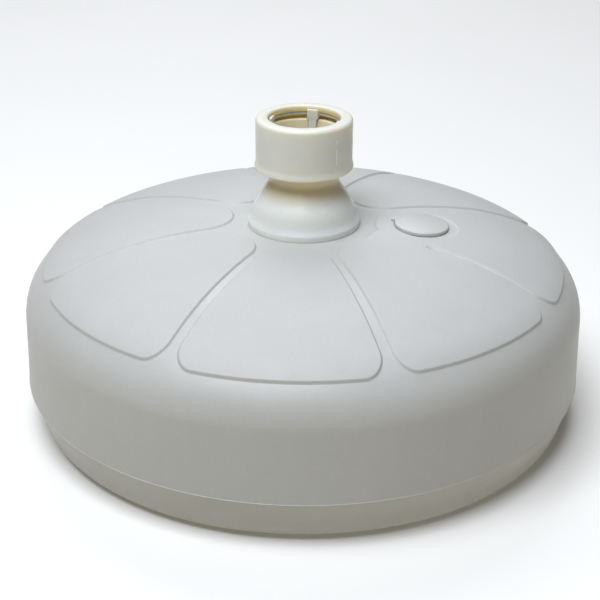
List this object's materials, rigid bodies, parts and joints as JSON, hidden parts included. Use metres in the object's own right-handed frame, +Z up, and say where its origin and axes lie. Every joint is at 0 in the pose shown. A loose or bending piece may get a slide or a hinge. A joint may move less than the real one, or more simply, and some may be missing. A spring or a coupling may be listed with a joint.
{
  "type": "parasol base",
  "caption": "Round water-filled plastic parasol base with raised petals on its dome, a filler plug, a flared neck and a screw clamp for the pole.",
  "frame": {"origin": "centre of the foot ring, on the ground, on the pole axis", "axes": "+Z up along the pole axis; +X to the right and -Y to the front as the object is seen from in front, with the filler plug on the +X side"},
  "size_m": [0.4499, 0.45, 0.2446],
  "materials": {
    "tank_plastic": "fine satin texture, off-white polyethylene",
    "neck_plastic": "smooth moulded ivory, slightly see-through",
    "nut_plastic": "smooth satin ivory",
    "collet_plastic": "smooth satin ivory",
    "cap_plastic": "smooth satin off-white",
    "seal_rubber": "matt black",
    "tube_plastic": "smooth satin ivory",
    "foot_nut_plastic": "smooth satin ivory"
  },
  "bodies": {
    "base": {"tank": "tank_plastic", "neck": "neck_plastic", "pole_tube": "tube_plastic", "foot_nut": "foot_nut_plastic"},
    "collet": {"clamp_collet": "collet_plastic"},
    "nut": {"clamp_nut": "nut_plastic"},
    "filler_plug": {"filler_cap": "cap_plastic", "filler_seal": "seal_rubber"}
  },
  "joints": [
    {"name": "nut_lift", "type": "slide", "parent": "base", "child": "collet", "axis": [0, 0, 1], "range_m": [0, 0.0141]},
    {"name": "nut_turn", "type": "hinge", "parent": "collet", "child": "nut", "pos_m": [0, 0, 0.2244], "axis": [0, 0, 1], "range_deg": [0, 720]},
    {"name": "plug_pull", "type": "slide", "parent": "base", "child": "filler_plug", "axis": [0.0692, -0.0061, 0.9976], "range_m": [0, 0.03]}
  ],
  "couplings": [
    {"joint": "nut_lift", "follows": "nut_turn", "m_per_rad": 0.0011141}
  ]
}
